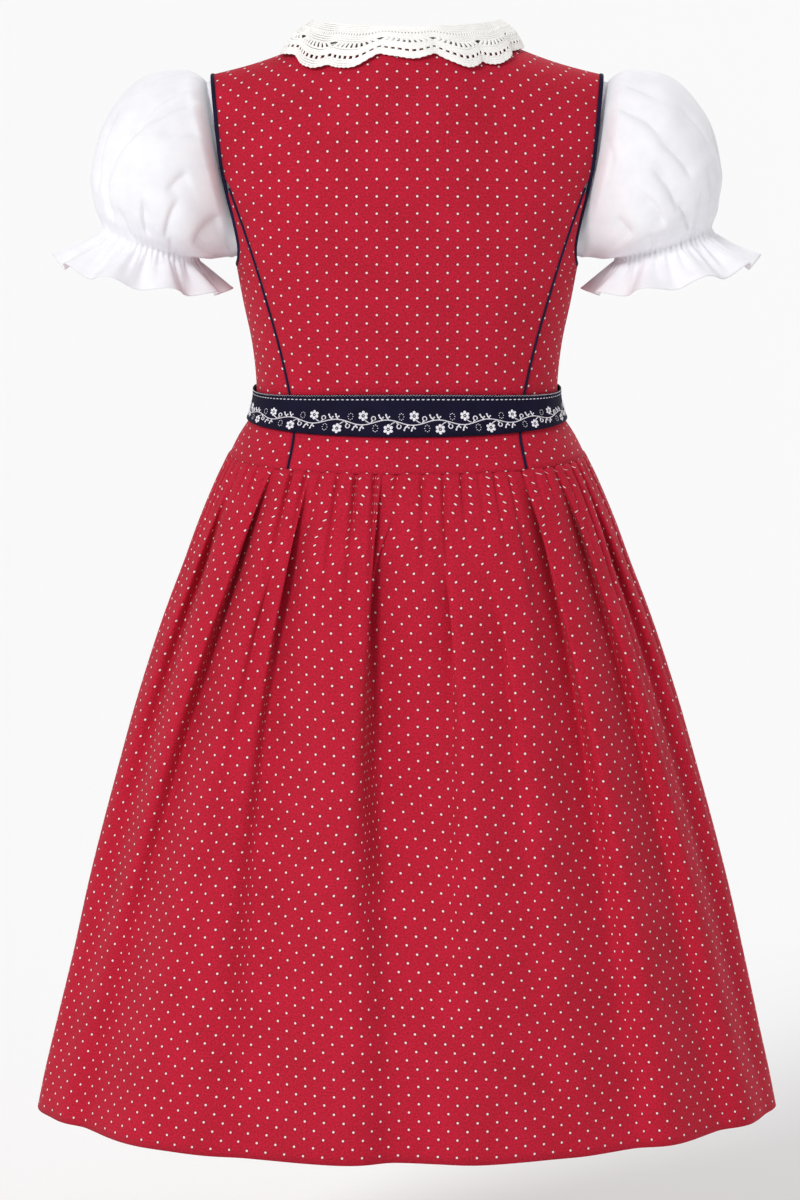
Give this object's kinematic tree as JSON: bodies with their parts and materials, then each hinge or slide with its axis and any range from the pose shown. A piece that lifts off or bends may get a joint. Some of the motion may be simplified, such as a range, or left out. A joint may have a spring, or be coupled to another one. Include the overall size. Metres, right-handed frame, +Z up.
{
  "type": "dirndl",
  "caption": "Girl's dirndl of red dotted cotton over a white blouse with puff sleeves and a lace collar, with a navy woven band round the waist.",
  "frame": {"origin": "midway between the two shoulder seams, at the sides of the neck, where the shoulders carry it", "axes": "+Z up, the front of the dress faces -Y and the pictured back faces +Y, its left side is +X"},
  "size_m": [0.5429, 0.3827, 0.7892],
  "materials": {
    "red_cotton": "woven cotton, matt, with small white dots",
    "navy_cloth": "dense woven cloth, matt; the band carries white woven flowers",
    "navy_button": "half matt moulded button",
    "white_cotton": "thin plain white cotton, matt",
    "white_lace": "crocheted cotton lace, matt"
  },
  "bodies": {
    "root": {"skirt_back": "red_cotton", "skirt_front": "red_cotton", "bodice_back": "red_cotton", "bodice_front_left": "red_cotton", "bodice_front_right": "red_cotton", "bodice_side_back_left": "red_cotton", "bodice_side_back_right": "red_cotton", "bodice_side_front_left": "red_cotton", "bodice_side_front_right": "red_cotton", "button_strip": "red_cotton", "piping_back_left": "navy_cloth", "piping_back_right": "navy_cloth", "piping_front_left": "navy_cloth", "piping_front_right": "navy_cloth", "armhole_binding_left": "navy_cloth", "armhole_binding_right": "navy_cloth", "waist_band": "navy_cloth", "band_button": "navy_button", "button_1": "navy_button", "button_2": "navy_button", "button_3": "navy_button", "button_4": "navy_button", "button_5": "navy_button", "button_6": "navy_button", "button_7": "navy_button", "blouse_back": "white_cotton", "blouse_front": "white_cotton", "blouse_neckband": "white_cotton", "sleeve_left": "white_cotton", "sleeve_right": "white_cotton", "lace_collar": "white_lace"}
  },
  "joints": []
}
